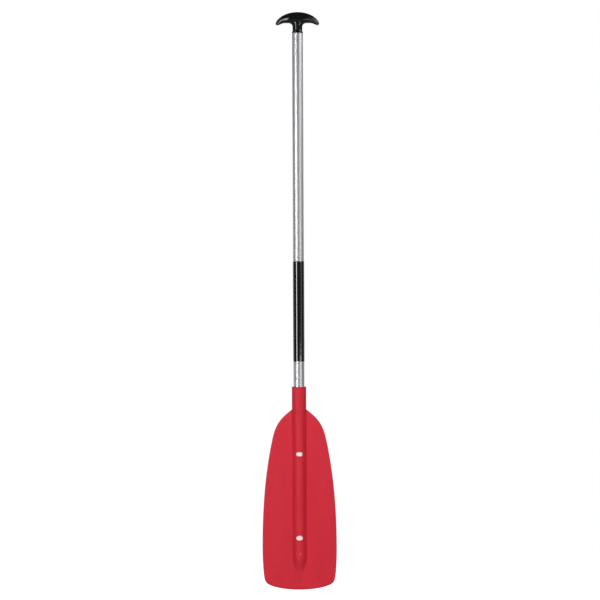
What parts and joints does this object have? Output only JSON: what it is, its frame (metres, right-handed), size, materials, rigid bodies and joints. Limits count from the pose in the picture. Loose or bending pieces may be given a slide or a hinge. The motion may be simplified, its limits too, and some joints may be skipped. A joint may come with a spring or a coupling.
{
  "type": "boat_paddle",
  "caption": "Boat paddle with a black T-grip, an aluminium shaft with a black lower sleeve, and a moulded red blade with a central spine.",
  "frame": {"origin": "point on the shaft axis level with the underside of the grip's wings, where the paddle hangs between two pegs", "axes": "+Z along the shaft toward the grip, X across the blade's width, +Y through the blade's thickness away from the pictured face"},
  "size_m": [0.1924, 0.0376, 1.5],
  "materials": {
    "blade_red": "satin moulded red polypropylene",
    "tube_alloy": "drawn and clear anodised",
    "sleeve_black": "smooth black shrink sleeve with a soft gloss",
    "grip_black": "glossy black moulding",
    "foam_grey": "closed cell foam",
    "stopper_black": "plain matt stopper"
  },
  "bodies": {
    "root": {"blade": "blade_red", "shaft_tube": "tube_alloy", "grip_sleeve": "sleeve_black", "t_grip": "grip_black", "upper_float_plug": "foam_grey", "lower_end_plug": "stopper_black"}
  },
  "joints": []
}
